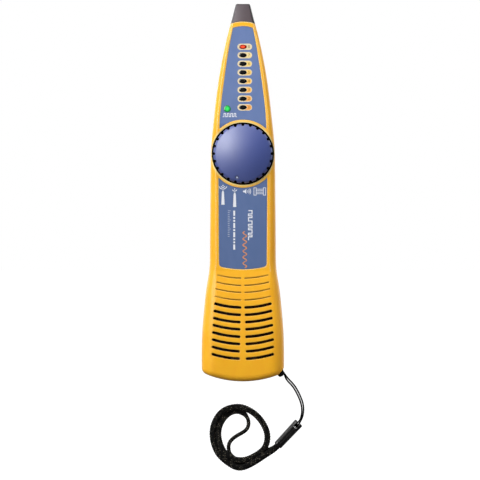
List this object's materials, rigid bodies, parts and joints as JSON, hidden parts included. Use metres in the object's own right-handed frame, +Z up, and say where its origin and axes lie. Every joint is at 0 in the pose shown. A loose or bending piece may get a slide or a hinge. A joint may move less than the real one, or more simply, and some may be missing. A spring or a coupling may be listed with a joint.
{
  "type": "tone probe",
  "caption": "Handheld cable tone probe: tapered two-part shell with sensing tip, signal windows, selector dial, speaker grille, sliding battery door and braided wrist lanyard.",
  "frame": {"origin": "where the axis of the selector dial meets the flat rear face of the shell", "axes": "+Z up the wand to the sensing tip, +Y out of the flat rear face, +X to the right when the front face is looked at"},
  "size_m": [0.0674, 0.033, 0.3078],
  "materials": {
    "yellow_abs": "satin moulded amber-yellow ABS",
    "blue_overlay": "fine-textured printed polycarbonate overlay",
    "blue_knob": "satin blue moulded plastic",
    "white_ink": "white printed dot",
    "tip_grey": "dark grey conductive plastic",
    "red_lens": "lit red light guide",
    "dark_lens": "smoked light guide, unlit",
    "green_lens": "lit green light guide",
    "led_body": "surface-mount LED",
    "pcb_green": "solder-masked fibreglass board",
    "chip_black": "moulded chip package",
    "steel": "bright zinc-plated steel",
    "spring_steel": "spring steel leaf",
    "brass_rod": "drawn brass",
    "copper_coil": "enamelled copper winding",
    "switch_black": "black glass-filled nylon",
    "shaft_white": "natural acetal",
    "speaker_steel": "stamped steel basket",
    "cone_paper": "black paper cone",
    "magnet_grey": "nickel-plated magnet",
    "foam_grey": "closed-cell foam",
    "cloth_black": "acoustic cloth",
    "battery_wrap": "jacketed nine-volt block",
    "contact_nickel": "nickel-plated snap contacts",
    "snap_black": "moulded vinyl snap",
    "wire_red": "PVC insulation",
    "wire_black": "PVC insulation",
    "nylon_black": "black moulded nylon",
    "cord_black": "thin black polyester cord",
    "braid_black": "flat tubular braid of black polyester"
  },
  "bodies": {
    "housing": {"front_housing": "yellow_abs", "rear_housing": "yellow_abs", "probe_tip": "tip_grey", "pickup_antenna": "brass_rod", "antenna_lead": "wire_black", "upper_label": "blue_overlay", "lower_label": "blue_overlay", "led_window_red": "red_lens", "led_windows": "dark_lens", "sync_window": "green_lens", "main_pcb": "pcb_green", "pcb_screws": "steel", "signal_leds": "led_body", "sync_led": "led_body", "processor_chip": "chip_black", "amplifier_chip": "chip_black", "crystal_can": "contact_nickel", "dial_seal": "cloth_black", "switch_base": "switch_black", "switch_cover": "steel", "detent_spring": "spring_steel", "speaker_frame": "speaker_steel", "speaker_cone": "cone_paper", "voice_coil": "copper_coil", "speaker_magnet": "magnet_grey", "speaker_gasket": "foam_grey", "grille_cloth": "cloth_black", "speaker_leads": "wire_red", "battery": "battery_wrap", "battery_terminals": "contact_nickel", "battery_snap": "snap_black", "battery_lead_red": "wire_red", "battery_lead_black": "wire_black", "battery_pad": "foam_grey", "case_screws": "steel", "tip_screw": "steel", "strap_anchor": "nylon_black", "strap_pin": "steel"},
    "dial": {"dial_knob": "blue_knob", "pointer_dot": "white_ink", "switch_shaft": "shaft_white"},
    "battery_door": {"battery_door": "yellow_abs"},
    "strap": {"thin_cord": "cord_black"},
    "coupler": {"coupler_body": "nylon_black", "coupler_bar": "steel", "braided_cord": "braid_black"}
  },
  "joints": [
    {"name": "dial_turn", "type": "hinge", "parent": "housing", "child": "dial", "pos_m": [0, -0.0295, 0], "axis": [0, -1, 0], "range_deg": [-36, 36]},
    {"name": "door_slide", "type": "slide", "parent": "housing", "child": "battery_door", "axis": [0, 0, -1], "range_m": [0, 0.055]},
    {"name": "strap_swing", "type": "hinge", "parent": "housing", "child": "strap", "pos_m": [0.025, -0.0165, -0.1443], "axis": [0, -1, 0], "range_deg": [-12, 50]},
    {"name": "coupler_swing", "type": "hinge", "parent": "strap", "child": "coupler", "pos_m": [0.03553, -0.0165, -0.17908], "axis": [0.7295, 0, -0.684], "range_deg": [-30, 10]}
  ]
}
